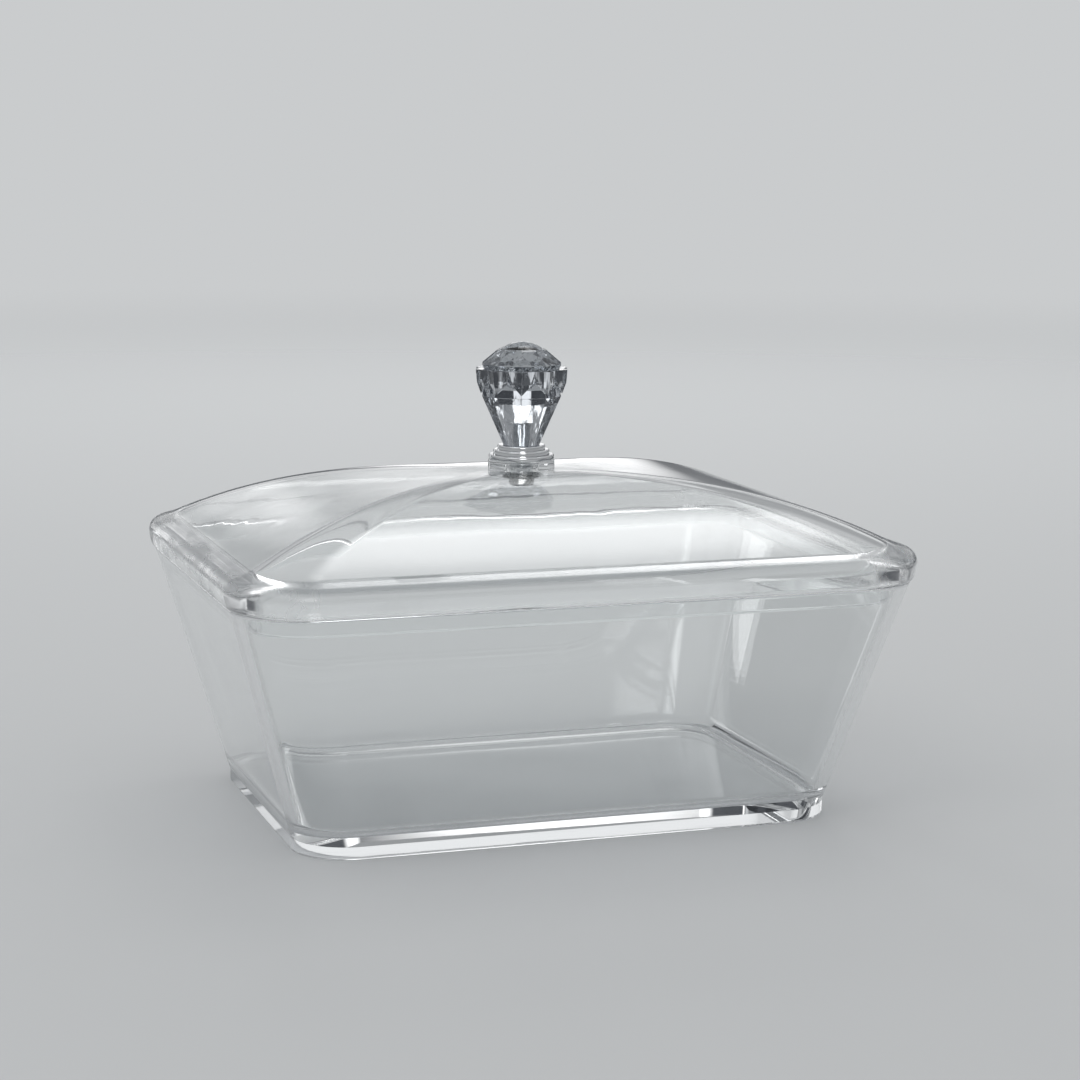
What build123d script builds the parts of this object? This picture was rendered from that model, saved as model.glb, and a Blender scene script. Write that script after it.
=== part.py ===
"""Clear candy bin with a domed lift-off lid and a cut-crystal knob.

Millimetres, +Z up, the origin on the table under the middle of the tub, +X along the long side.
"""

import os

from build123d import *

# ------------------------------------------------------------------ driving dimensions

# Tub: a plain band at the foot, then a slanted wall up to the rim
foot_length = 166.0
foot_width = 115.0
foot_corner = 17.0
foot_height = 4.0
rim_length = 206.0
rim_width = 155.0
rim_corner = 22.3
tub_height = 74.0
tub_wall = 3.4  # measured level, across the slant
floor_thickness = 6.5
floor_fillet = 4.0
foot_rounding = 0.8
rim_rounding = 0.8

# Lid flange: rests on the rim and stands out past it
flange_overhang = 2.5  # past the rim, all round
flange_edge = 8.2  # height of the outer edge
flange_draft = 1.7  # the edge leans in by this much at its foot
shoulder_rounding = 3.8
heel_rounding = 1.5
crease_inset = 7.4  # from the flange's outline in to the foot of the dome
crease_rise = 2.2  # from the flange's shoulder up to the foot of the dome

# Dome: a cushion whose outline shrinks as it rises
dome_rise = 18.5
dome_power_x = 2.73
dome_power_y = 2.53
dome_levels = (0.0, 0.2, 0.42, 0.62, 0.79, 0.91, 0.975)
dome_corner_top = 5.0  # corner radius that the outline shrinks to
crown_flat = 18.0  # side of the small flat on top, under the boss
crown_corner = 7.0
lid_wall = 3.0

# Locating lip under the lid
lip_depth = 5.5
lip_wall = 2.6
lip_clearance = 0.7
lip_rounding = 0.7

# Knob seat
boss_radius = 10.2
boss_height = 2.8
boss_fillet = 0.8

# Chrome collar, turned in three steps, with a spigot below and a stud above
collar_radii = (10.0, 8.6, 7.3)
collar_step = 1.45
collar_rounding = 0.5
spigot_radius = 3.5
spigot_length = 3.8
spigot_clearance = 0.1
stud_radius = 2.6
stud_length = 7.5
stud_clearance = 0.08
stud_end_gap = 0.5

# Crystal, heights measured up from the collar
facet_count = 10
waist_radius = 5.7  # over the corners, where it stands on the collar
belly_radius = 12.6
belly_height = 15.2
neck_radius = 12.1
neck_height = 17.6
ledge_radius = 12.0
ledge_height = 23.4
girdle_radius = 12.6
girdle_height = 24.9
crown_radius = 7.7
crown_height = 28.9
bezel_radius = 6.8
bezel_height = 29.4
cap_radius = 6.4
cap_rise = 2.05

# Petals: a kite at the ledge, a narrower one at the shoulder, then a point below
petal_reach = 14.65  # radius of the tip
petal_flank_radius = 12.6
petal_overlap = 1.15  # half a petal's angle, in half steps of the facets
petal_shoulder_height = 19.4
petal_shoulder_reach = 14.25
petal_shoulder_flank_radius = 12.7
petal_shoulder_overlap = 0.8
petal_point_radius = 13.0
petal_point_height = 16.1

# Screw and washers
screw_radius = 2.0
thread_clearance = 0.05
screw_reach = 11.0  # length of the shank
screw_end_gap = 0.6
head_radius = 3.9
head_height = 2.6
head_rounding = 1.2
recess_length = 4.4
recess_width = 1.0
recess_depth = 1.5
washer_radius = 6.0
washer_thickness = 0.8
washer_clearance = 0.2
washer_rounding = 0.2
cushion_radius = 6.6
cushion_thickness = 0.8

# ------------------------------------------------------------------ levels, worked out

lid_length = rim_length + 2 * flange_overhang
lid_width = rim_width + 2 * flange_overhang
lid_corner = rim_corner + flange_overhang
lip_bottom = tub_height - lip_depth
shoulder = tub_height + flange_edge
crease = shoulder + crease_rise
dome_top = crease + dome_rise
ceiling = dome_top - lid_wall
boss_top = dome_top + boss_height
collar_top = boss_top + collar_step * len(collar_radii)
cushion_bottom = ceiling - cushion_thickness
washer_bottom = cushion_bottom - washer_thickness
facet_angle = 360 / facet_count
near = 0.01  # tolerance for picking edges by their height


def tub_outline(height, inset=0.0):
    """Length, width and corner radius of the slanted wall at a height, drawn in by the inset."""
    share = (height - foot_height) / (tub_height - foot_height)
    length = foot_length + share * (rim_length - foot_length) - 2 * inset
    width = foot_width + share * (rim_width - foot_width) - 2 * inset
    corner = foot_corner + share * (rim_corner - foot_corner) - inset
    return length, width, corner


def dome_outline(share, length, width, corner):
    """The cushion's outline at a share of its rise, from the outline at its foot."""
    return (
        length * (1 - share) ** (1 / dome_power_x),
        width * (1 - share) ** (1 / dome_power_y),
        corner + share * (dome_corner_top - corner),
    )


def edges_at(part, height):
    """Every edge of the part that lies level at this height."""
    return part.edges().filter_by_position(Axis.Z, height - near, height + near)


lip_outline = tub_outline(lip_bottom, tub_wall + lip_clearance)
hollow_outline = tub_outline(lip_bottom, tub_wall + lip_clearance + lip_wall)
crease_outline = (
    lid_length - 2 * crease_inset,
    lid_width - 2 * crease_inset,
    lid_corner - crease_inset,
)

# ------------------------------------------------------------------ tub

with BuildPart() as bin_tub:
    with BuildSketch():
        RectangleRounded(foot_length, foot_width, foot_corner)
    extrude(amount=foot_height)
    for level in (foot_height, tub_height):
        with BuildSketch(Plane.XY.offset(level)):
            RectangleRounded(*tub_outline(level))
    loft(ruled=True)
    for level in (floor_thickness, tub_height):
        with BuildSketch(Plane.XY.offset(level)):
            RectangleRounded(*tub_outline(level, tub_wall))
    loft(ruled=True, mode=Mode.SUBTRACT)
    fillet(edges_at(bin_tub, floor_thickness), floor_fillet)
    fillet(edges_at(bin_tub, tub_height), rim_rounding)
    fillet(edges_at(bin_tub, 0), foot_rounding)

# ------------------------------------------------------------------ lid

with BuildPart() as lid_shell:
    # Flange: its edge leans out to the shoulder, then the top slopes in to the crease
    for level, inset in ((tub_height, flange_draft), (shoulder, 0), (crease, crease_inset)):
        with BuildSketch(Plane.XY.offset(level)):
            RectangleRounded(lid_length - 2 * inset, lid_width - 2 * inset, lid_corner - inset)
    loft(ruled=True)
    fillet(edges_at(lid_shell, shoulder), shoulder_rounding)
    fillet(edges_at(lid_shell, tub_height), heel_rounding)

    # Dome
    for share in dome_levels:
        with BuildSketch(Plane.XY.offset(crease + share * dome_rise)):
            RectangleRounded(*dome_outline(share, *crease_outline))
    with BuildSketch(Plane.XY.offset(dome_top)):
        RectangleRounded(crown_flat, crown_flat, crown_corner)
    loft()

    # Boss that the knob stands on
    with BuildSketch(Plane.XY.offset(ceiling)):
        Circle(boss_radius)
    extrude(amount=boss_top - ceiling)
    fillet(edges_at(lid_shell, boss_top), boss_fillet)

    # Locating lip
    with BuildSketch(Plane.XY.offset(lip_bottom)):
        RectangleRounded(*lip_outline)
    extrude(amount=lip_depth)

    # Hollow: straight up inside the lip, then the dome again, one wall lower
    with BuildSketch(Plane.XY.offset(lip_bottom)):
        RectangleRounded(*hollow_outline)
    extrude(amount=crease - lid_wall - lip_bottom, mode=Mode.SUBTRACT)
    for share in dome_levels:
        with BuildSketch(Plane.XY.offset(crease - lid_wall + share * dome_rise)):
            RectangleRounded(*dome_outline(share, *hollow_outline))
    with BuildSketch(Plane.XY.offset(ceiling)):
        RectangleRounded(crown_flat, crown_flat, crown_corner)
    loft(mode=Mode.SUBTRACT)
    fillet(edges_at(lid_shell, lip_bottom), lip_rounding)

    # Bore for the collar's spigot
    with Locations((0, 0, boss_top)):
        Hole(spigot_radius + spigot_clearance)

# ------------------------------------------------------------------ chrome collar

with BuildPart() as knob_collar:
    for step, radius in enumerate(collar_radii):
        with BuildSketch(Plane.XY.offset(boss_top + step * collar_step)):
            Circle(radius)
        extrude(amount=collar_step)
    rims = knob_collar.edges().filter_by(GeomType.CIRCLE)
    fillet(rims.filter_by(lambda edge: not edge.is_interior), collar_rounding)
    with BuildSketch(Plane.XY.offset(boss_top)):
        Circle(spigot_radius)
    extrude(amount=-spigot_length)
    with BuildSketch(Plane.XY.offset(collar_top)):
        Circle(stud_radius)
    extrude(amount=stud_length)
    # Tapped hole, up from the spigot's foot past the end of the screw
    with BuildSketch(Plane.XY.offset(boss_top - spigot_length)):
        Circle(screw_radius + thread_clearance)
    extrude(
        amount=washer_bottom + screw_reach + screw_end_gap - boss_top + spigot_length,
        mode=Mode.SUBTRACT,
    )

# ------------------------------------------------------------------ crystal



def petal_kite(height, reach, flank_radius, overlap):
    """A kite that points along +X, level at a height above the collar."""
    flank = Vector(flank_radius, 0).rotate(Axis.Z, overlap * facet_angle / 2)
    with BuildSketch(Plane.XY.offset(collar_top + height)) as kite:
        with BuildLine():
            Polyline(
                (reach, 0),
                (flank.X, flank.Y),
                (waist_radius, 0),
                (flank.X, -flank.Y),
                close=True,
            )
        make_face()
    return kite.sketch.face()


petal_sections = [
    petal_kite(ledge_height, petal_reach, petal_flank_radius, petal_overlap),
    petal_kite(
        petal_shoulder_height,
        petal_shoulder_reach,
        petal_shoulder_flank_radius,
        petal_shoulder_overlap,
    ),
    Vertex(petal_point_radius, 0, collar_top + petal_point_height),
]

with BuildPart() as petal:
    loft(petal_sections, ruled=True)

with BuildPart() as knob_crystal:
    tiers = (
        (0, waist_radius),
        (belly_height, belly_radius),
        (neck_height, neck_radius),
        (ledge_height, ledge_radius),
        (girdle_height, girdle_radius),
        (crown_height, crown_radius),
        (bezel_height, bezel_radius),
    )
    for height, radius in tiers:
        with BuildSketch(Plane.XY.offset(collar_top + height)):
            RegularPolygon(radius, facet_count, rotation=facet_angle / 2)
    loft(ruled=True)
    with PolarLocations(0, facet_count, start_angle=facet_angle / 2):
        add(petal.part)
    # Low polished cap
    with BuildSketch(Plane.XZ):
        with BuildLine():
            foot = (cap_radius, collar_top + bezel_height)
            peak = (0, collar_top + bezel_height + cap_rise)
            cap_sphere = (cap_radius**2 + cap_rise**2) / (2 * cap_rise)
            RadiusArc(peak, foot, cap_sphere)
            Polyline(foot, (0, collar_top + bezel_height), peak)
        make_face()
    revolve(axis=Axis.Z)
    # Blind bore for the stud
    with BuildSketch(Plane.XY.offset(collar_top)):
        Circle(stud_radius + stud_clearance)
    extrude(amount=stud_length + stud_end_gap, mode=Mode.SUBTRACT)

# ------------------------------------------------------------------ screw and washers

with BuildPart() as knob_screw:
    with BuildSketch(Plane.XY.offset(washer_bottom)):
        Circle(head_radius)
    extrude(amount=-head_height)
    fillet(edges_at(knob_screw, washer_bottom - head_height), head_rounding)
    with BuildSketch(Plane.XY.offset(washer_bottom)):
        Circle(screw_radius)
    extrude(amount=screw_reach)
    with BuildSketch(Plane.XY.offset(washer_bottom - head_height)):
        Rectangle(recess_length, recess_width)
        Rectangle(recess_width, recess_length)
    extrude(amount=recess_depth, mode=Mode.SUBTRACT)

with BuildPart() as knob_washer:
    with BuildSketch(Plane.XY.offset(washer_bottom)):
        Circle(washer_radius)
        Circle(screw_radius + washer_clearance, mode=Mode.SUBTRACT)
    extrude(amount=washer_thickness)
    fillet(edges_at(knob_washer, washer_bottom), washer_rounding)

with BuildPart() as knob_cushion:
    with BuildSketch(Plane.XY.offset(cushion_bottom)):
        Circle(cushion_radius)
        Circle(screw_radius + washer_clearance, mode=Mode.SUBTRACT)
    extrude(amount=cushion_thickness)

# ------------------------------------------------------------------ export

pieces = {
    "bin_tub": bin_tub,
    "lid_shell": lid_shell,
    "knob_crystal": knob_crystal,
    "knob_collar": knob_collar,
    "knob_screw": knob_screw,
    "knob_washer": knob_washer,
    "knob_cushion": knob_cushion,
}
os.makedirs("parts", exist_ok=True)
for name, piece in pieces.items():
    piece.part.label = name
    export_step(piece.part, f"parts/{name}.step")
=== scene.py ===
"""Looks of a clear candy bin with a domed lift-off lid and a cut-crystal knob.

Metres, +Z up, the origin on the table under the middle of the tub, +X along the long side.
"""

from math import cos, pi, radians, sin

import bmesh
import bpy
from mathutils import Matrix, Vector


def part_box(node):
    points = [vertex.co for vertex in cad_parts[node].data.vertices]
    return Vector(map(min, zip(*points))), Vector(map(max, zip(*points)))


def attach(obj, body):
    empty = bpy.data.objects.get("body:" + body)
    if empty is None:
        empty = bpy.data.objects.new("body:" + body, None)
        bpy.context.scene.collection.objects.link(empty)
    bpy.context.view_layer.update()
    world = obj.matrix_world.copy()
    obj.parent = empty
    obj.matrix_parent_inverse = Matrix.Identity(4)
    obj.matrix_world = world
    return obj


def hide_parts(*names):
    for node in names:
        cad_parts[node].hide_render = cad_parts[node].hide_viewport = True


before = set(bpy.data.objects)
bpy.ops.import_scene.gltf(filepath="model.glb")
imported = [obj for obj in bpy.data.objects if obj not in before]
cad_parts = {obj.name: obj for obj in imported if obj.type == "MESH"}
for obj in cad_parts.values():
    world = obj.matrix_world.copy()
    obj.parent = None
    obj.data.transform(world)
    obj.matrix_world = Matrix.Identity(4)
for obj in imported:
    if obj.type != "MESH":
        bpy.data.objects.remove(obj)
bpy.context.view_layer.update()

mm = 0.001

# ------------------------------------------------------------------ sizes

tub_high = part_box("bin_tub")[1]
lid_low, lid_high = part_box("lid_shell")
collar_low, collar_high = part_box("knob_collar")
crystal_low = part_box("knob_crystal")[0]
washer_low, washer_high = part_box("knob_washer")
cushion_low, cushion_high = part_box("knob_cushion")
screw_low, screw_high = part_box("knob_screw")

# Tub
foot_length = 166 * mm
foot_width = 115 * mm
foot_corner = 17 * mm
foot_height = 4 * mm
rim_length = 206 * mm
rim_width = 155 * mm
rim_corner = 22.3 * mm
tub_height = tub_high.z
tub_wall = 3.4 * mm
floor_thickness = 6.5 * mm
floor_fillet = 4 * mm
foot_rounding = 0.8 * mm
rim_rounding = 0.8 * mm
seat_gap = 0.05 * mm  # air between the rim and the lid that rests on it

# Lid
flange_overhang = 2.5 * mm
flange_draft = 1.7 * mm
flange_edge = 8.2 * mm
shoulder_rounding = 3.8 * mm
heel_rounding = 1.5 * mm
crease_inset = 7.4 * mm
crease_rise = 2.2 * mm
dome_rise = 18.5 * mm
dome_power_x = 2.73
dome_power_y = 2.53
dome_corner_top = 5 * mm
dome_rings = 28
crown_share = 0.19  # the dome's rings shrink to this share of its length before the crown
lid_wall = 3 * mm
lip_wall = 2.6 * mm
lip_clearance = 0.7 * mm
lip_rounding = 0.7 * mm
boss_radius = 10.2 * mm
boss_rounding = 0.8 * mm
bore_radius = 3.6 * mm

lip_bottom = lid_low.z
spigot_depth = 3.8 * mm
boss_top = collar_low.z + spigot_depth
shoulder = tub_height + flange_edge
crease = shoulder + crease_rise
dome_top = crease + dome_rise
ceiling = dome_top - lid_wall

# Chrome collar
collar_radii = (10 * mm, 8.6 * mm, 7.3 * mm)
collar_step = 1.45 * mm
collar_rounding = 0.5 * mm
collar_heel_rounding = 0.25 * mm
spigot_radius = 3.5 * mm
stud_radius = 2.6 * mm
collar_top = crystal_low.z
tapped_radius = 2.05 * mm
tapped_room = 0.6 * mm  # left over the screw's end
tapped_top = screw_high.z + tapped_room

# Crystal, heights measured up from the collar
facet_count = 10
waist_radius = 5.7 * mm
belly_radius = 12.6 * mm
belly_height = 15.2 * mm
neck_radius = 12.1 * mm
neck_height = 17.6 * mm
ledge_radius = 12.0 * mm
ledge_height = 23.4 * mm
girdle_radius = 12.6 * mm
girdle_height = 24.9 * mm
crown_radius = 7.7 * mm
crown_height = 28.9 * mm
bezel_radius = 6.8 * mm
bezel_height = 29.4 * mm
cap_radius = 6.4 * mm
cap_rise = 2.05 * mm
petal_reach = 14.65 * mm
petal_flank_radius = 12.6 * mm
petal_overlap = 1.15
petal_shoulder_height = 19.4 * mm
petal_shoulder_reach = 14.25 * mm
petal_shoulder_flank_radius = 12.7 * mm
petal_shoulder_overlap = 0.8
petal_point_radius = 13.0 * mm
petal_point_height = 16.1 * mm
cap_sink = 0.4 * mm
bore_room = 0.5 * mm  # left over the stud's end
bore_top = collar_high.z + bore_room
stud_clearance = 0.08 * mm
facet_bevel = 0.05 * mm
facet_bevel_angle = radians(16)
facet_smooth_angle = radians(5)
facet_flat_angle = radians(0.2)

# Screw, washer and cushion
screw_radius = 2.0 * mm
thread_pitch = 0.7 * mm
thread_depth = 0.32 * mm
thread_sink = 0.1 * mm  # how far the threaded rod goes into the head
extra_turns = 3
head_radius = screw_high.x
head_rounding = 1.2 * mm
recess_length = 4.4 * mm
recess_width = 1.0 * mm
recess_depth = 1.5 * mm
recess_taper = 0.7
washer_hole = 2.2 * mm
washer_rounding = 0.2 * mm
cushion_rounding = 0.3 * mm

corner_segments = 16
ring_points = 4 * (corner_segments + 1)
turned_points = 96
edge_segments = 8
smooth_angle = radians(13)
near = 0.01 * mm
contact_gap = 0.02 * mm  # air between two faces that touch
overcut = 1 * mm  # how far a cutter stands out of the face that it cuts


# ------------------------------------------------------------------ modelling helpers


def start_piece(name):
    """An empty mesh of this name, open in edit mode."""
    bpy.ops.object.select_all(action="DESELECT")
    piece = bpy.data.objects.new(name, bpy.data.meshes.new(name))
    bpy.context.scene.collection.objects.link(piece)
    bpy.context.view_layer.objects.active = piece
    piece.select_set(True)
    bpy.ops.object.mode_set(mode="EDIT")
    bpy.ops.mesh.select_mode(type="VERT")
    return piece


def number_ring(piece, number):
    """Give the points that have no ring yet this ring's number, which counts from 1."""
    shape = bmesh.from_edit_mesh(piece.data)
    layer = shape.verts.layers.int.get("ring") or shape.verts.layers.int.new("ring")
    for point in shape.verts:
        if point[layer] == 0:
            point[layer] = number


def pick_rings(piece, numbers):
    """Select the edges that run along these rings."""
    bpy.ops.mesh.select_all(action="DESELECT")
    shape = bmesh.from_edit_mesh(piece.data)
    layer = shape.verts.layers.int.get("ring")
    for edge in shape.edges:
        a, b = edge.verts
        if a[layer] == b[layer] and a[layer] in numbers:
            edge.select_set(True)
    bmesh.update_edit_mesh(piece.data)


def pick_edges(piece, height, reach=0.0):
    """Select the sharp level edges at a height, at least this far from the Z axis."""
    bpy.ops.mesh.select_all(action="DESELECT")
    shape = bmesh.from_edit_mesh(piece.data)
    for edge in shape.edges:
        ends = [point.co for point in edge.verts]
        level = all(abs(end.z - height) < near and end.xy.length >= reach for end in ends)
        if level and edge.calc_face_angle(0) > smooth_angle:
            edge.select_set(True)
    bmesh.update_edit_mesh(piece.data)


def rounded_ring(length, width, corner, height):
    """An open ring with the outline of a rounded rectangle."""
    bpy.ops.mesh.select_all(action="DESELECT")
    bpy.ops.mesh.primitive_plane_add(size=1, location=(0, 0, height))
    bpy.ops.transform.resize(value=(length, width, 1))
    bpy.ops.mesh.bevel(
        offset=corner, segments=corner_segments, profile=0.5, affect="VERTICES", clamp_overlap=False
    )
    bpy.ops.mesh.delete(type="ONLY_FACE")


def round_ring(radius, height, points):
    """An open circular ring."""
    bpy.ops.mesh.select_all(action="DESELECT")
    bpy.ops.mesh.primitive_circle_add(vertices=points, radius=radius, location=(0, 0, height))


def skin_rings(piece, rings, closed, points=ring_points):
    """Make each ring in turn and bridge it to the one before. The ends are joined or capped."""
    last = len(rings)
    for number, ring in enumerate(rings, start=1):
        if len(ring) == 2:
            round_ring(*ring, points)
        else:
            rounded_ring(*ring)
        number_ring(piece, number)
    pairs = [(number, number + 1) for number in range(1, last)]
    if closed:
        pairs.append((last, 1))
    # Two rings at one height bridge straight across only while they are bare
    pairs.sort(key=lambda pair: rings[pair[0] - 1][-1] != rings[pair[1] - 1][-1])
    for pair in pairs:
        pick_rings(piece, pair)
        bpy.ops.mesh.bridge_edge_loops()
    if not closed:
        for number in (1, last):
            pick_rings(piece, (number,))
            bpy.ops.mesh.edge_face_add()
    bpy.ops.mesh.select_all(action="SELECT")
    bpy.ops.mesh.normals_make_consistent(inside=False)


def round_edges(piece, height, radius, reach=0.0, segments=edge_segments):
    """Round the sharp level edges at a height."""
    pick_edges(piece, height, reach)
    bpy.ops.mesh.bevel(offset=radius, segments=segments, profile=0.5, affect="EDGES")


def cut_mesh(place, way, fill=False):
    """Cut the open mesh with a plane and keep the side that the way points to."""
    bpy.ops.mesh.select_all(action="SELECT")
    bpy.ops.mesh.bisect(
        plane_co=place, plane_no=way, use_fill=fill, clear_inner=True, threshold=near / 100
    )


def close_mesh(piece):
    """Merge doubled points, turn the faces outwards and leave edit mode."""
    bpy.ops.mesh.select_all(action="SELECT")
    bpy.ops.mesh.remove_doubles(threshold=near / 10)
    bpy.ops.mesh.normals_make_consistent(inside=False)
    bpy.ops.object.mode_set(mode="OBJECT")
    ring = piece.data.attributes.get("ring")
    if ring is not None:
        piece.data.attributes.remove(ring)


def apply_modifier(piece, kind, **settings):
    """Add a modifier to the piece, set it up and apply it."""
    bpy.ops.object.select_all(action="DESELECT")
    bpy.context.view_layer.objects.active = piece
    piece.select_set(True)
    modifier = piece.modifiers.new(kind.lower(), kind)
    for name, value in settings.items():
        setattr(modifier, name, value)
    bpy.ops.object.modifier_apply(modifier=modifier.name)


def combine(piece, tool, operation):
    """Add the tool's solid to the piece or cut it away, and drop the tool."""
    apply_modifier(piece, "BOOLEAN", operation=operation, solver="EXACT", object=tool)
    bpy.data.objects.remove(tool)


def finish_piece(piece, body, node, angle=smooth_angle):
    """Shade smooth up to the angle and set the piece on its body."""
    bpy.ops.object.shade_smooth_by_angle(angle=angle)
    apply_modifier(piece, "WEIGHTED_NORMAL", keep_sharp=True)
    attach(piece, body)
    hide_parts(node)
    return piece


# ------------------------------------------------------------------ tub


def tub_ring(height, inset=0.0):
    """The slanted wall's outline at a height, drawn in by the inset."""
    share = (height - foot_height) / (tub_height - foot_height)
    length = foot_length + share * (rim_length - foot_length) - 2 * inset
    width = foot_width + share * (rim_width - foot_width) - 2 * inset
    corner = foot_corner + share * (rim_corner - foot_corner) - inset
    return length, width, corner, height


def make_tub():
    tub = start_piece("clear_tub")
    foot = (foot_length, foot_width, foot_corner)
    outer_rim = (*tub_ring(tub_height)[:3], tub_height - seat_gap)
    inner_rim = (*tub_ring(tub_height, tub_wall)[:3], tub_height - seat_gap)
    rings = [
        (*foot, 0),
        tub_ring(foot_height),
        outer_rim,
        inner_rim,
        tub_ring(floor_thickness, tub_wall),
    ]
    skin_rings(tub, rings, closed=False)
    round_edges(tub, floor_thickness, floor_fillet, segments=12)
    round_edges(tub, tub_height - seat_gap, rim_rounding)
    round_edges(tub, 0, foot_rounding)
    close_mesh(tub)
    return finish_piece(tub, "bin", "bin_tub")


# ------------------------------------------------------------------ lid


def dome_stack(length, width, corner, base):
    """The cushion's outlines from its foot to the edge of the crown."""
    rings = []
    for number in range(dome_rings + 1):
        shrink = 1 - (1 - crown_share) * number / dome_rings
        share = 1 - shrink**dome_power_x
        rings.append(
            (
                length * shrink,
                width * shrink ** (dome_power_x / dome_power_y),
                corner + share * (dome_corner_top - corner),
                base + share * dome_rise,
            )
        )
    return rings


def make_lid():
    lid = start_piece("clear_lid")
    lip = tub_ring(lip_bottom, tub_wall + lip_clearance)[:3]
    hollow = tub_ring(lip_bottom, tub_wall + lip_clearance + lip_wall)[:3]

    def flange(inset, height):
        grown = 2 * (flange_overhang - inset)
        return rim_length + grown, rim_width + grown, rim_corner + flange_overhang - inset, height

    rings = [
        (*hollow, lip_bottom),
        (*lip, lip_bottom),
        (*lip, tub_height),
        flange(flange_draft, tub_height),
        flange(0, shoulder),
    ]
    rings += dome_stack(*flange(crease_inset, crease))
    rings += [(boss_radius, dome_top), (boss_radius, boss_top)]
    rings += [(bore_radius, boss_top), (bore_radius, ceiling), (2 * bore_radius, ceiling)]
    rings += reversed(dome_stack(*hollow, crease - lid_wall))
    skin_rings(lid, rings, closed=True)
    round_edges(lid, shoulder, shoulder_rounding)
    round_edges(lid, tub_height, heel_rounding, reach=flange(2 * flange_draft, 0)[1] / 2)
    round_edges(lid, lip_bottom, lip_rounding)
    round_edges(lid, boss_top, boss_rounding, reach=boss_radius - near)
    close_mesh(lid)
    return finish_piece(lid, "lid", "lid_shell")


# ------------------------------------------------------------------ crystal


def move_point(piece, start, end):
    """Take the point that is at one place to another."""
    bpy.ops.mesh.select_all(action="DESELECT")
    shape = bmesh.from_edit_mesh(piece.data)
    point = min(shape.verts, key=lambda point: (point.co - Vector(start)).length)
    point.select_set(True)
    shape.select_flush_mode()
    bmesh.update_edit_mesh(piece.data)
    bpy.ops.transform.translate(value=Vector(end) - point.co)


def petal_corners(height, reach, flank_radius, overlap):
    """A level kite that points along +X: its tip, left flank, inner corner and right flank."""
    half_angle = overlap * pi / facet_count
    flank_x = flank_radius * cos(half_angle)
    flank_y = flank_radius * sin(half_angle)
    level = collar_top + height
    return (
        (reach, 0, level),
        (flank_x, flank_y, level),
        (waist_radius, 0, level),
        (flank_x, -flank_y, level),
    )


def make_petal():
    """A kite at the ledge and a narrower one at the shoulder, drawn down to the belly."""
    start = -20 * mm  # the kites are squares down here before their corners are moved
    half = 1 * mm
    top = petal_corners(ledge_height, petal_reach, petal_flank_radius, petal_overlap)
    shoulder_kite = petal_corners(
        petal_shoulder_height,
        petal_shoulder_reach,
        petal_shoulder_flank_radius,
        petal_shoulder_overlap,
    )
    petal = start_piece("petal")
    bpy.ops.mesh.primitive_cube_add(size=1, location=(0, 0, start))
    bpy.ops.transform.resize(
        value=(2 * half, 2 * half, 2 * half), center_override=(0, 0, start)
    )
    for kite, level in ((top, start + half), (shoulder_kite, start - half)):
        square = (
            (half, -half, level),
            (half, half, level),
            (-half, half, level),
            (-half, -half, level),
        )
        for corner, place in zip(square, kite):
            move_point(petal, corner, place)
    bpy.ops.mesh.select_all(action="DESELECT")
    shape = bmesh.from_edit_mesh(petal.data)
    for face in shape.faces:
        if all(abs(point.co.z - shoulder_kite[0][2]) < near for point in face.verts):
            face.select_set(True)
    bmesh.update_edit_mesh(petal.data)
    bpy.ops.mesh.extrude_region_move()
    bpy.ops.mesh.merge(type="CENTER")
    point = next(v for v in bmesh.from_edit_mesh(petal.data).verts if v.select)
    tip = Vector((petal_point_radius, 0, collar_top + petal_point_height))
    bpy.ops.transform.translate(value=tip - point.co)
    # The sides are slightly twisted, so both flanks are creased the same way
    bpy.ops.mesh.select_all(action="SELECT")
    bpy.ops.mesh.quads_convert_to_tris(quad_method="SHORTEST_DIAGONAL")
    close_mesh(petal)
    return petal


def make_cap():
    """The low polished cap, sliced off a ball."""
    ball_radius = (cap_radius**2 + cap_rise**2) / (2 * cap_rise)
    foot = collar_top + bezel_height
    cap = start_piece("cap")
    bpy.ops.mesh.primitive_uv_sphere_add(
        segments=turned_points,
        ring_count=turned_points,
        radius=ball_radius,
        location=(0, 0, foot + cap_rise - ball_radius),
    )
    cut_mesh((0, 0, foot - cap_sink), (0, 0, 1), fill=True)
    close_mesh(cap)
    return cap


def make_bore():
    """The blind hole for the stud."""
    bore = start_piece("bore")
    low = collar_top - overcut
    bpy.ops.mesh.primitive_cylinder_add(
        vertices=turned_points,
        radius=stud_radius + stud_clearance,
        depth=bore_top - low,
        location=(0, 0, (bore_top + low) / 2),
    )
    close_mesh(bore)
    return bore


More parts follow.
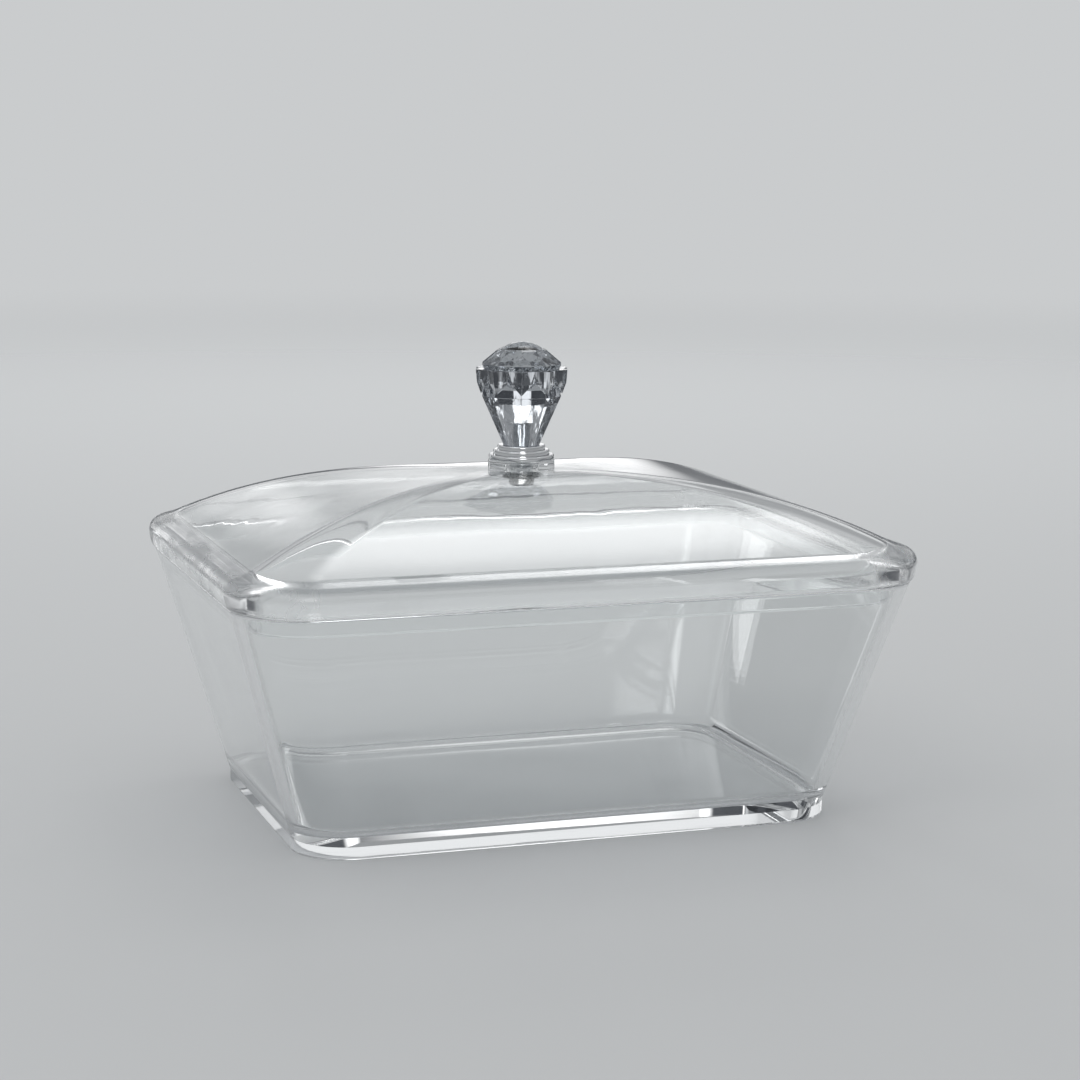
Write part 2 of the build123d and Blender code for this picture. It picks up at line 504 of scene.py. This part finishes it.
def make_crystal():
    """One tenth of the cut body and its petal, turned about the axis, then the cap and the bore."""
    tiers = (
        (waist_radius, contact_gap),
        (belly_radius, belly_height),
        (neck_radius, neck_height),
        (ledge_radius, ledge_height),
        (girdle_radius, girdle_height),
        (crown_radius, crown_height),
        (bezel_radius, bezel_height),
    )
    crystal = start_piece("cut_crystal")
    rings = [(radius, collar_top + height) for radius, height in tiers]
    skin_rings(crystal, rings, closed=False, points=facet_count)
    bpy.ops.transform.rotate(value=pi / facet_count, orient_axis="Z", center_override=(0, 0, 0))
    close_mesh(crystal)
    combine(crystal, make_petal(), "UNION")
    bpy.ops.object.mode_set(mode="EDIT")
    half = pi / facet_count
    for side in (1, -1):
        cut_mesh((0, 0, 0), (sin(half), side * cos(half), 0))
    bpy.ops.mesh.select_all(action="SELECT")
    bpy.ops.mesh.spin(
        steps=facet_count - 1,
        dupli=True,
        angle=2 * pi * (facet_count - 1) / facet_count,
        use_auto_merge=False,
        center=(0, 0, 0),
        axis=(0, 0, 1),
    )
    bpy.ops.mesh.select_all(action="SELECT")
    bpy.ops.mesh.remove_doubles(threshold=near / 2)
    bpy.ops.mesh.dissolve_limited(angle_limit=facet_flat_angle)
    close_mesh(crystal)
    combine(crystal, make_cap(), "UNION")
    combine(crystal, make_bore(), "DIFFERENCE")
    apply_modifier(
        crystal,
        "BEVEL",
        width=facet_bevel,
        segments=2,
        limit_method="ANGLE",
        angle_limit=facet_bevel_angle,
    )
    return finish_piece(crystal, "lid", "knob_crystal", angle=facet_smooth_angle)


# ------------------------------------------------------------------ collar, screw and washers


def make_collar():
    foot = boss_top + contact_gap
    rings = [
        (tapped_radius, tapped_top),
        (tapped_radius, collar_low.z),
        (spigot_radius, collar_low.z),
        (spigot_radius, foot),
    ]
    level = foot
    for step, radius in enumerate(collar_radii, start=1):
        rings.append((radius, level))
        level = boss_top + step * collar_step
        rings.append((radius, level))
    rings += [(stud_radius, level), (stud_radius, collar_high.z)]
    collar = start_piece("chrome_collar")
    skin_rings(collar, rings, closed=False, points=turned_points)
    for step, radius in enumerate(collar_radii, start=1):
        round_edges(collar, boss_top + step * collar_step, collar_rounding, reach=radius - near)
    round_edges(collar, foot, collar_heel_rounding, reach=collar_radii[0] - near)
    close_mesh(collar)
    return finish_piece(collar, "lid", "knob_collar")


def make_thread():
    """A threaded rod from the washer up to the screw's end."""
    low = washer_low.z - thread_sink
    root = screw_radius - thread_depth
    thread = start_piece("thread")
    bpy.ops.mesh.primitive_circle_add(vertices=3, radius=root, location=(0, 0, low))
    corners = [point.co.copy() for point in bmesh.from_edit_mesh(thread.data).verts]
    profile = (
        (root, 0, low - thread_pitch),
        (screw_radius, 0, low - thread_pitch / 2),
        (root, 0, low),
    )
    for corner, place in zip(corners, profile):
        move_point(thread, corner, place)
    # Without its upright side the triangle is one turn's groove
    bpy.ops.mesh.select_all(action="DESELECT")
    shape = bmesh.from_edit_mesh(thread.data)
    for edge in shape.edges:
        if all(abs(point.co.x - root) < near for point in edge.verts):
            edge.select_set(True)
    bmesh.update_edit_mesh(thread.data)
    bpy.ops.mesh.delete(type="EDGE")
    bpy.ops.object.mode_set(mode="OBJECT")
    turns = int((screw_high.z - low) / thread_pitch) + extra_turns
    apply_modifier(
        thread,
        "SCREW",
        screw_offset=thread_pitch,
        iterations=turns,
        steps=32,
        render_steps=32,
        use_smooth_shade=False,
    )
    bpy.ops.object.mode_set(mode="EDIT")
    bpy.ops.mesh.select_all(action="SELECT")
    bpy.ops.mesh.remove_doubles(threshold=near / 10)
    for height, side in ((low, 1), (screw_high.z, -1)):
        cut_mesh((0, 0, height), (0, 0, side), fill=True)
    close_mesh(thread)
    return thread


def make_recess_arm(length, width):
    """One arm of the cross recess, narrower at its end."""
    arm = start_piece("recess")
    low = screw_low.z - overcut
    top = screw_low.z + recess_depth
    bpy.ops.mesh.primitive_cube_add(size=1, location=(0, 0, (low + top) / 2))
    bpy.ops.transform.resize(
        value=(length, width, top - low), center_override=(0, 0, (low + top) / 2)
    )
    bpy.ops.mesh.select_all(action="DESELECT")
    shape = bmesh.from_edit_mesh(arm.data)
    for point in shape.verts:
        if abs(point.co.z - top) < near:
            point.select_set(True)
    shape.select_flush_mode()
    bmesh.update_edit_mesh(arm.data)
    bpy.ops.transform.resize(value=(recess_taper, recess_taper, 1), center_override=(0, 0, top))
    close_mesh(arm)
    return arm


def make_screw():
    screw = start_piece("steel_screw")
    rings = [(head_radius, screw_low.z), (head_radius, washer_low.z - contact_gap)]
    skin_rings(screw, rings, closed=False, points=turned_points)
    round_edges(screw, screw_low.z, head_rounding)
    close_mesh(screw)
    combine(screw, make_thread(), "UNION")
    combine(screw, make_recess_arm(recess_length, recess_width), "DIFFERENCE")
    combine(screw, make_recess_arm(recess_width, recess_length), "DIFFERENCE")
    return finish_piece(screw, "lid", "knob_screw")


def make_disc(name, hole, radius, low, high, rounding):
    """A flat ring with its outer edges rounded."""
    disc = start_piece(name)
    rings = [(hole, low), (radius, low), (radius, high), (hole, high)]
    skin_rings(disc, rings, closed=True, points=turned_points)
    for height in (low, high):
        round_edges(disc, height, rounding, reach=radius - near)
    close_mesh(disc)
    return disc


def make_washer():
    washer = make_disc(
        "steel_washer", washer_hole, washer_high.x, washer_low.z, washer_high.z, washer_rounding
    )
    return finish_piece(washer, "lid", "knob_washer")


def make_cushion():
    cushion = make_disc(
        "clear_cushion",
        washer_hole,
        cushion_high.x,
        cushion_low.z + contact_gap,
        cushion_high.z - contact_gap,
        cushion_rounding,
    )
    return finish_piece(cushion, "lid", "knob_cushion")


# ------------------------------------------------------------------ material helpers


def add_node(tree, kind, **settings):
    node = tree.nodes.new(kind)
    for name, value in settings.items():
        setattr(node, name, value)
    return node


def add_maths(tree, operation, *values):
    """A Math node whose inputs are sockets or plain numbers."""
    node = add_node(tree, "ShaderNodeMath", operation=operation)
    for socket, value in zip(node.inputs, values):
        if isinstance(value, (int, float)):
            socket.default_value = value
        else:
            tree.links.new(value, socket)
    return node.outputs[0]


def add_noise(tree, vector, scale, detail=2.0, roughness=0.5, distortion=0.0):
    node = add_node(tree, "ShaderNodeTexNoise")
    tree.links.new(vector, node.inputs["Vector"])
    if isinstance(scale, (int, float)):
        node.inputs["Scale"].default_value = scale
    else:
        tree.links.new(scale, node.inputs["Scale"])
    node.inputs["Detail"].default_value = detail
    node.inputs["Roughness"].default_value = roughness
    node.inputs["Distortion"].default_value = distortion
    return node.outputs["Fac"]


def add_range(tree, value, low, high, to_low=0.0, to_high=1.0):
    """Map a value smoothly from one range to another."""
    node = add_node(tree, "ShaderNodeMapRange", interpolation_type="SMOOTHSTEP")
    tree.links.new(value, node.inputs["Value"])
    for name, limit in (
        ("From Min", low),
        ("From Max", high),
        ("To Min", to_low),
        ("To Max", to_high),
    ):
        node.inputs[name].default_value = limit
    return node.outputs["Result"]


def add_mapping(tree, vector, turn=(0, 0, 0), scale=(1, 1, 1)):
    node = add_node(tree, "ShaderNodeMapping")
    tree.links.new(vector, node.inputs["Vector"])
    node.inputs["Rotation"].default_value = turn
    node.inputs["Scale"].default_value = scale
    return node.outputs["Vector"]


def split_vector(tree, vector):
    """The vector's X, Y and Z as sockets."""
    node = add_node(tree, "ShaderNodeSeparateXYZ")
    tree.links.new(vector, node.inputs[0])
    return node.outputs


def start_group(name, inputs, outputs):
    """An effect with a Vector input, number inputs with their defaults, and number outputs."""
    tree = bpy.data.node_groups.new(name, "ShaderNodeTree")
    tree.interface.new_socket("Vector", in_out="INPUT", socket_type="NodeSocketVector")
    for label, value in inputs.items():
        socket = tree.interface.new_socket(label, in_out="INPUT", socket_type="NodeSocketFloat")
        socket.default_value = value
    for label in outputs:
        tree.interface.new_socket(label, in_out="OUTPUT", socket_type="NodeSocketFloat")
    given = add_node(tree, "NodeGroupInput").outputs
    result = add_node(tree, "NodeGroupOutput").inputs
    return tree, given, result


def make_handling():
    """Smudges from fingers and cloths, and hairline scratches."""
    tree, given, result = start_group(
        "handling",
        {"Clean": 0.01, "Smudged": 0.05, "Smudge Scale": 30.0, "Scratch Depth": 1e-6},
        ("Roughness", "Height"),
    )
    patches = add_noise(tree, given["Vector"], given["Smudge Scale"], detail=4, distortion=0.6)
    grease = add_range(tree, patches, 0.48, 0.72)
    fine_scale = add_maths(tree, "MULTIPLY", given["Smudge Scale"], 14)
    fine = add_noise(tree, given["Vector"], fine_scale, detail=2)
    grease = add_maths(tree, "MULTIPLY", grease, add_range(tree, fine, 0.3, 0.7, 0.75, 1.0))
    marks = None
    for turn, stretch in (
        ((0.3, 0.2, 0.6), (9, 900, 60)),
        ((1.1, -0.4, 2.2), (7, 1100, 50)),
        ((-0.5, 1.3, 1.3), (8, 60, 1000)),
    ):
        streaks = add_noise(
            tree, add_mapping(tree, given["Vector"], turn, stretch), 1.0, detail=1, roughness=0.4
        )
        lines = add_range(tree, streaks, 0.72, 0.78)
        marks = lines if marks is None else add_maths(tree, "MAXIMUM", marks, lines)
    tree.links.new(
        add_maths(
            tree,
            "MULTIPLY_ADD",
            add_maths(tree, "SUBTRACT", given["Smudged"], given["Clean"]),
            grease,
            given["Clean"],
        ),
        result["Roughness"],
    )
    depth = add_maths(tree, "MULTIPLY", given["Scratch Depth"], -1)
    tree.links.new(add_maths(tree, "MULTIPLY", marks, depth), result["Height"])
    return tree


def make_moulding():
    """Slow waves left in a moulded or pressed surface."""
    tree, given, result = start_group("moulding", {"Scale": 30.0, "Depth": 5e-5}, ("Height",))
    slow = add_noise(tree, given["Vector"], given["Scale"], detail=0, distortion=0.4)
    quick_scale = add_maths(tree, "MULTIPLY", given["Scale"], 3.1)
    quick = add_noise(tree, given["Vector"], quick_scale, detail=1)
    waves = add_maths(tree, "MULTIPLY_ADD", quick, 0.12, slow)
    tree.links.new(add_maths(tree, "MULTIPLY", waves, given["Depth"]), result["Height"])
    return tree


def make_turning():
    """Fine rings left by a lathe or a polishing wheel about the Z axis."""
    tree, given, result = start_group("turning", {"Pitch": 1e-4, "Depth": 1e-6}, ("Height",))
    flat = add_node(tree, "ShaderNodeVectorMath", operation="MULTIPLY")
    tree.links.new(given["Vector"], flat.inputs[0])
    flat.inputs[1].default_value = (1, 1, 0)
    size = add_node(tree, "ShaderNodeVectorMath", operation="LENGTH")
    tree.links.new(flat.outputs["Vector"], size.inputs[0])
    rise = split_vector(tree, given["Vector"])["Z"]
    run = add_maths(tree, "ADD", size.outputs["Value"], rise)
    turns = add_maths(tree, "DIVIDE", run, given["Pitch"])
    uneven = add_noise(tree, given["Vector"], 900.0, detail=2)
    phase = add_maths(tree, "MULTIPLY_ADD", uneven, 0.6, turns)
    rings = add_maths(tree, "SINE", add_maths(tree, "MULTIPLY", phase, 2 * pi))
    tree.links.new(add_maths(tree, "MULTIPLY", rings, given["Depth"]), result["Height"])
    return tree


handling = make_handling()
moulding = make_moulding()
turning = make_turning()


def add_group(tree, group, vector, **values):
    node = add_node(tree, "ShaderNodeGroup", node_tree=group)
    tree.links.new(vector, node.inputs["Vector"])
    for label, value in values.items():
        node.inputs[label.replace("_", " ")].default_value = value
    return node.outputs


def start_material(name, **values):
    """A material with one Principled shader. Values set its sockets."""
    material = bpy.data.materials.new(name)
    material.use_nodes = True
    tree = material.node_tree
    shader = tree.nodes["Principled BSDF"]
    for label, value in values.items():
        shader.inputs[label.replace("_", " ")].default_value = value
    place = add_node(tree, "ShaderNodeTexCoord").outputs["Object"]
    return material, tree, shader, place


def add_bump(tree, shader, *heights):
    """Bump from heights in metres, added up."""
    total = heights[0]
    for height in heights[1:]:
        total = add_maths(tree, "ADD", total, height)
    bump = add_node(tree, "ShaderNodeBump")
    bump.inputs["Distance"].default_value = 1.0
    tree.links.new(total, bump.inputs["Height"])
    tree.links.new(bump.outputs["Normal"], shader.inputs["Normal"])


def let_light_out(material, tint, edge_tint):
    """Light on its way to the floor, and rays mirrored too often inside a piece, pass it tinted.

    They take the edge tint where they graze its surface, so its shadow has a darker outline.
    """
    most_mirrored = 2
    outline_sharpness = 4
    tree = material.node_tree
    shader = tree.nodes["Principled BSDF"]
    clear = add_node(tree, "ShaderNodeBsdfTransparent")
    grazing = add_node(tree, "ShaderNodeLayerWeight")
    grazing.inputs["Blend"].default_value = 0.5
    tints = add_node(tree, "ShaderNodeMix", data_type="RGBA")
    outline = add_maths(tree, "POWER", grazing.outputs["Facing"], outline_sharpness)
    tree.links.new(outline, tints.inputs["Factor"])
    tints.inputs["A"].default_value = tint
    tints.inputs["B"].default_value = edge_tint
    tree.links.new(tints.outputs["Result"], clear.inputs["Color"])
    rays = add_node(tree, "ShaderNodeLightPath")
    trapped = add_maths(tree, "GREATER_THAN", rays.outputs["Glossy Depth"], most_mirrored + 0.5)
    mix = add_node(tree, "ShaderNodeMixShader")
    to_floor = add_maths(
        tree, "MAXIMUM", rays.outputs["Is Shadow Ray"], rays.outputs["Is Diffuse Ray"]
    )
    tree.links.new(add_maths(tree, "MAXIMUM", to_floor, trapped), mix.inputs[0])
    tree.links.new(shader.outputs[0], mix.inputs[1])
    tree.links.new(clear.outputs[0], mix.inputs[2])
    tree.links.new(mix.outputs[0], tree.nodes["Material Output"].inputs["Surface"])


# ------------------------------------------------------------------ materials

# Metals: colour, clean and smudged roughness, pitch and depth of the turned rings
chrome_look = ((0.78, 0.79, 0.8, 1), 0.05, 0.14, 1.5e-4, 3e-7)
screw_look = ((0.56, 0.55, 0.53, 1), 0.2, 0.34, 1.2e-4, 1.5e-6)
washer_look = ((0.6, 0.6, 0.59, 1), 0.22, 0.36, 1.8e-4, 2e-6)


def add_scuffs(tree, place, reach):
    """Cloudy roughness at the ends and corners of a lid that reaches this far from its middle."""
    end_width = 9 * mm
    end_fade = 4 * mm
    # In reaches along both sides, a corner's ends are 1.69 and 1.76 out and its middle 1.84
    corner_start = 1.66
    corner_full = 1.76
    least = 0.08
    most = 0.32
    parts = split_vector(tree, place)
    along = add_maths(tree, "ABSOLUTE", parts["X"])
    across = add_maths(tree, "ABSOLUTE", parts["Y"])
    end_start = reach.x - end_width
    end = add_range(tree, along, end_start, end_start + end_fade)
    reaches = add_maths(
        tree, "MULTIPLY_ADD", along, 1 / reach.x, add_maths(tree, "DIVIDE", across, reach.y)
    )
    corner = add_range(tree, reaches, corner_start, corner_full)
    rubbed = add_mapping(tree, place, scale=(1, 0.3, 1))
    cloud = add_noise(tree, rubbed, 170.0, detail=3)
    cloudy = add_range(tree, cloud, 0.35, 0.65, least, most)
    return add_maths(tree, "MULTIPLY", add_maths(tree, "MAXIMUM", end, corner), cloudy)


def make_clear_plastic(name, smudged, wave_depth, scuffed_reach=None):
    material, tree, shader, place = start_material(
        name,
        Base_Color=(0.975, 0.985, 0.985, 1),
        IOR=1.49,
        Transmission_Weight=1.0,
    )
    marks = add_group(
        tree, handling, place, Clean=0.008, Smudged=smudged, Smudge_Scale=28.0, Scratch_Depth=1.2e-6
    )
    waves = add_group(tree, moulding, place, Scale=26.0, Depth=wave_depth)
    rough = marks["Roughness"]
    if scuffed_reach is not None:
        rough = add_maths(tree, "MAXIMUM", rough, add_scuffs(tree, place, scuffed_reach))
    tree.links.new(rough, shader.inputs["Roughness"])
    add_bump(tree, shader, marks["Height"], waves["Height"])
    let_light_out(material, tint=(0.92, 0.925, 0.93, 1), edge_tint=(0.2, 0.21, 0.22, 1))
    return material


def make_crystal_glass():
    # Painted shade: the grey base colour and the strong absorption below darken the crystal far
    # beyond real clear glass. They stand in for the dark surroundings seen through it.
    material, tree, shader, place = start_material(
        "cut_crystal_glass",
        Base_Color=(0.70, 0.72, 0.74, 1),
        IOR=1.53,
        Transmission_Weight=1.0,
    )
    marks = add_group(
        tree, handling, place, Clean=0.0, Smudged=0.03, Smudge_Scale=120.0, Scratch_Depth=4e-7
    )
    # The glass was drawn upwards, so its waves stand upright
    drawn = add_mapping(tree, place, scale=(1, 1, 0.05))
    waves = add_group(tree, moulding, drawn, Scale=420.0, Depth=2.2e-4)
    tree.links.new(marks["Roughness"], shader.inputs["Roughness"])
    add_bump(tree, shader, marks["Height"], waves["Height"])
    let_light_out(material, tint=(0.5, 0.52, 0.55, 1), edge_tint=(0.2, 0.21, 0.23, 1))
    # Painted shade: the crystal absorbs far more light than real glass does, so it reads dark all
    # through.
    painted_shade_absorption = add_node(tree, "ShaderNodeVolumeAbsorption")
    painted_shade_absorption.inputs["Color"].default_value = (0.45, 0.47, 0.5, 1)
    painted_shade_absorption.inputs["Density"].default_value = 30.0
    tree.links.new(painted_shade_absorption.outputs[0], tree.nodes["Material Output"].inputs["Volume"])
    return material


def make_metal(name, colour, clean, smudged, pitch, depth):
    material, tree, shader, place = start_material(name, Base_Color=colour, Metallic=1.0)
    marks = add_group(
        tree, handling, place, Clean=clean, Smudged=smudged, Smudge_Scale=160.0, Scratch_Depth=8e-7
    )
    rings = add_group(tree, turning, place, Pitch=pitch, Depth=depth)
    tree.links.new(marks["Roughness"], shader.inputs["Roughness"])
    add_bump(tree, shader, marks["Height"], rings["Height"])
    return material


def make_soft_vinyl():
    material, tree, shader, place = start_material(
        "soft_clear_vinyl",
        Base_Color=(0.93, 0.94, 0.93, 1),
        IOR=1.45,
        Transmission_Weight=1.0,
    )
    marks = add_group(
        tree, handling, place, Clean=0.2, Smudged=0.35, Smudge_Scale=200.0, Scratch_Depth=1e-6
    )
    tree.links.new(marks["Roughness"], shader.inputs["Roughness"])
    add_bump(tree, shader, marks["Height"])
    let_light_out(material, tint=(0.85, 0.86, 0.85, 1), edge_tint=(0.5, 0.5, 0.5, 1))
    return material


# ------------------------------------------------------------------ floor, world, lamps and camera

floor_radius = 6
floor_tone = (0.55, 0.563, 0.572, 1)
floor_gap = 0.05 * mm
floor_fade = (0.25, 2.4)  # metres from the middle where the floor starts and ends its fading
backdrop = (0.59, 0.603, 0.612, 1)  # as bright as the floor under the lamps
fill_tone = (0.66, 0.66, 0.66, 1)  # the even light on the floor

# The studio that is mirrored, from the table upwards
dark_band = (0.07, 0.075, 0.085, 1)
light_band = (0.9, 0.91, 0.92, 1)
grey_band = (0.3, 0.31, 0.32, 1)
wall_tone = (0.5, 0.51, 0.52, 1)
ceiling_tone = (0.6, 0.61, 0.62, 1)
studio_tones = (  # by the sine of the elevation
    (0.13, dark_band),
    (0.16, light_band),
    (0.2, light_band),
    (0.26, grey_band),
    (0.37, grey_band),
    (0.45, wall_tone),
)

# Its soft lights: azimuth, elevation, angle of the full core, angle of the edge, strength
glows = (
    (52, 60, 3, 15, 2.7),
    (86, 13.5, 0.5, 4, 0.6),
    (72, 3, 1, 6, 1.8),
    (-101, 16, 8, 16, 3.5),
    (-150, 50, 8, 24, 0.5),
)

# More of them, that only the crystal shows
crystal_glows = (
    (88, 29, 5, 10, 2.5),
    (73, 29, 5, 10, 2.5),
    (58, 29, 5, 10, 2.5),
)

lamp_aim = (0, 0, 80 * mm)  # where every lamp points

# Lamps: name, azimuth, elevation, distance, width, height, radiance, whether they are mirrored
lamps = (
    ("overhead_box", 52, 60, 1.7, 0.6, 0.6, 2.3, False),
    ("front_box", -150, 50, 2.4, 1.2, 1.2, 2.2, False),
    ("right_window", 108, 5, 2.0, 0.30, 0.42, 1.6, True),
    ("back_strip_left", 88, 29, 1.8, 0.26, 0.6, 4.0, False),
    ("back_strip_middle", 73, 29, 1.8, 0.26, 0.6, 4.0, False),
    ("back_strip_right", 58, 29, 1.8, 0.26, 0.6, 4.0, False),
)


def make_floor():
    bpy.ops.object.select_all(action="DESELECT")
    bpy.ops.mesh.primitive_circle_add(
        vertices=96, radius=floor_radius, fill_type="NGON", location=(0, 0, -floor_gap)
    )
    floor = bpy.context.object
    floor.name = "floor"
    material = bpy.data.materials.new("pale_floor")
    material.use_nodes = True
    tree = material.node_tree
    shader = tree.nodes["Principled BSDF"]
    shader.inputs["Base Color"].default_value = floor_tone
    shader.inputs["Roughness"].default_value = 0.6
    shader.inputs["Specular IOR Level"].default_value = 0.0
    # Far out the floor fades into the background
    place = add_node(tree, "ShaderNodeTexCoord").outputs["Object"]
    size = add_node(tree, "ShaderNodeVectorMath", operation="LENGTH")
    tree.links.new(place, size.inputs[0])
    fade = add_range(tree, size.outputs["Value"], *floor_fade, 1.0, 0.0)
    tree.links.new(fade, shader.inputs["Alpha"])
    floor.data.materials.append(material)


def aim(azimuth, elevation):
    """The direction at this azimuth, turned from +X towards +Y, and this elevation."""
    turn = radians(azimuth)
    level = radians(elevation)
    return Vector((cos(level) * cos(turn), cos(level) * sin(turn), sin(level)))


def add_glow(tree, way, azimuth, elevation, core, edge, strength):
    """A round soft light in the world, full inside its core angle and gone at its edge angle."""
    facing = add_node(tree, "ShaderNodeVectorMath", operation="DOT_PRODUCT")
    tree.links.new(way, facing.inputs[0])
    facing.inputs[1].default_value = aim(azimuth, elevation)
    return add_range(
        tree, facing.outputs["Value"], cos(radians(edge)), cos(radians(core)), 0.0, strength
    )


def add_light(tree, light, more):
    """One light's colour and another's, added up."""
    both = add_node(tree, "ShaderNodeVectorMath", operation="ADD")
    tree.links.new(light, both.inputs[0])
    tree.links.new(more, both.inputs[1])
    return both.outputs["Vector"]


def make_world():
    """A plain pale backdrop, seen straight and through the clear walls.

    What is mirrored, or seen through the crystal, is a studio with a dark low band and soft lights.
    """
    world = bpy.data.worlds.new("studio")
    bpy.context.scene.world = world
    world.use_nodes = True
    tree = world.node_tree
    background = tree.nodes["Background"]
    way = add_node(tree, "ShaderNodeTexCoord").outputs["Generated"]
    rays = add_node(tree, "ShaderNodeLightPath")

    studio = add_node(tree, "ShaderNodeValToRGB")
    tree.links.new(split_vector(tree, way)["Z"], studio.inputs[0])
    stops = studio.color_ramp.elements
    stops[0].position = 0.0
    stops[0].color = dark_band
    stops[1].position = 1.0
    stops[1].color = ceiling_tone
    for height, colour in studio_tones:
        stops.new(height).color = colour

    # A ray that passed two surfaces has crossed the crystal, and one that passed four, two walls
    mirrored = add_maths(tree, "GREATER_THAN", rays.outputs["Glossy Depth"], 0.5)
    one_block = add_maths(tree, "COMPARE", rays.outputs["Transmission Depth"], 2, 0.5)
    straight = add_maths(tree, "SUBTRACT", one_block, mirrored)
    straight = add_maths(tree, "GREATER_THAN", straight, 0.5)

    light = studio.outputs["Color"]
    for glow in glows:
        light = add_light(tree, light, add_glow(tree, way, *glow))
    for glow in crystal_glows:
        strip = add_maths(tree, "MULTIPLY", add_glow(tree, way, *glow), straight)
        light = add_light(tree, light, strip)

    seen = add_node(tree, "ShaderNodeMix", data_type="RGBA")
    tree.links.new(add_maths(tree, "MAXIMUM", mirrored, one_block), seen.inputs["Factor"])
    seen.inputs["A"].default_value = backdrop
    tree.links.new(light, seen.inputs["B"])
    room = add_node(tree, "ShaderNodeMix", data_type="RGBA")
    tree.links.new(rays.outputs["Is Diffuse Ray"], room.inputs["Factor"])
    tree.links.new(seen.outputs["Result"], room.inputs["A"])
    room.inputs["B"].default_value = fill_tone
    tree.links.new(room.outputs["Result"], background.inputs["Color"])


def add_softbox(name, azimuth, elevation, distance, width, height, radiance, mirrored):
    """A lamp that faces the bin. One that isn't mirrored only lights the floor."""
    data = bpy.data.lights.new(name, "AREA")
    data.shape = "RECTANGLE"
    data.size = width
    data.size_y = height
    data.energy = radiance * pi * width * height
    lamp = bpy.data.objects.new(name, data)
    bpy.context.scene.collection.objects.link(lamp)
    way = aim(azimuth, elevation)
    lamp.location = Vector(lamp_aim) + distance * way
    lamp.rotation_euler = (-way).to_track_quat("-Z", "Y").to_euler()
    lamp.visible_camera = False
    lamp.visible_glossy = mirrored
    lamp.visible_transmission = mirrored


def make_camera():
    azimuth = radians(-18.58)
    elevation = radians(9.31)
    roll = radians(0.34)
    distance = 820.45 * mm
    target = Vector((7.29, 3.19, 79.50)) * mm
    back = Vector(
        (sin(azimuth) * cos(elevation), -cos(azimuth) * cos(elevation), sin(elevation))
    )
    right = Vector((cos(azimuth), sin(azimuth), 0))
    up = back.cross(right)
    across = right * cos(roll) + up * sin(roll)
    data = bpy.data.cameras.new("camera")
    data.sensor_width = 36
    data.lens = 88.23
    camera = bpy.data.objects.new("camera", data)
    bpy.context.scene.collection.objects.link(camera)
    axes = Matrix((across, back.cross(across), back)).transposed()
    camera.matrix_world = Matrix.LocRotScale(target + back * distance, axes.to_quaternion(), None)
    bpy.context.scene.camera = camera


# ------------------------------------------------------------------ build

for piece, material in (
    (make_tub(), make_clear_plastic("clear_tub_plastic", smudged=0.04, wave_depth=4e-5)),
    (
        make_lid(),
        make_clear_plastic(
            "clear_lid_plastic", smudged=0.08, wave_depth=1.8e-4, scuffed_reach=lid_high
        ),
    ),
    (make_crystal(), make_crystal_glass()),
    (make_collar(), make_metal("chrome", *chrome_look)),
    (make_screw(), make_metal("screw_steel", *screw_look)),
    (make_washer(), make_metal("washer_steel", *washer_look)),
    (make_cushion(), make_soft_vinyl()),
):
    piece.data.materials.clear()
    piece.data.materials.append(material)

make_floor()
make_world()
for lamp in lamps:
    add_softbox(*lamp)
make_camera()

bpy.context.scene.view_settings.view_transform = "Standard"
